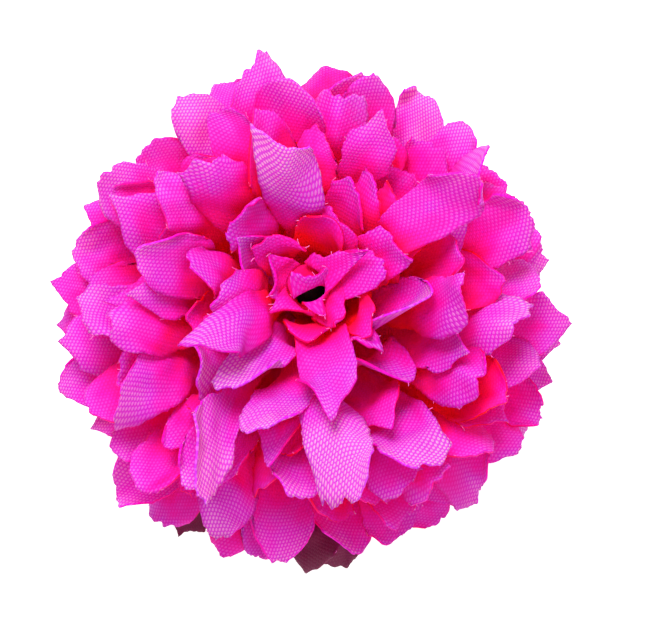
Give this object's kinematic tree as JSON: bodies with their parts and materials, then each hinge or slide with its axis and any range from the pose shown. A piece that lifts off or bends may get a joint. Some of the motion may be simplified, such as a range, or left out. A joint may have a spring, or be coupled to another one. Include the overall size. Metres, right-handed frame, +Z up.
{
  "type": "artificial chrysanthemum flower head",
  "caption": "Fabric chrysanthemum bloom: a dome of layered woven petals with irregular cut tips, held on a black plastic hub with a flat back for gluing.",
  "frame": {"origin": "centre of the hub's flat underside", "axes": "+Z up through the middle of the bloom; +Y is the side that is at the top of the picture, +X its right"},
  "size_m": [0.0497, 0.0496, 0.0281],
  "materials": {
    "petal_fabric": "plain-woven polyester, orchid pink to hot magenta with a soft sheen",
    "hub_plastic": "black, moulded"
  },
  "bodies": {
    "root": {"hub": "hub_plastic", "petal_layer_01": "petal_fabric", "petal_layer_02": "petal_fabric", "petal_layer_03": "petal_fabric", "petal_layer_04": "petal_fabric", "petal_layer_05": "petal_fabric", "petal_layer_06": "petal_fabric", "petal_layer_07": "petal_fabric", "petal_layer_08": "petal_fabric", "petal_layer_09": "petal_fabric", "petal_layer_10": "petal_fabric", "petal_layer_11": "petal_fabric", "petal_layer_12": "petal_fabric", "petal_layer_13": "petal_fabric", "petal_layer_14": "petal_fabric"}
  },
  "joints": []
}
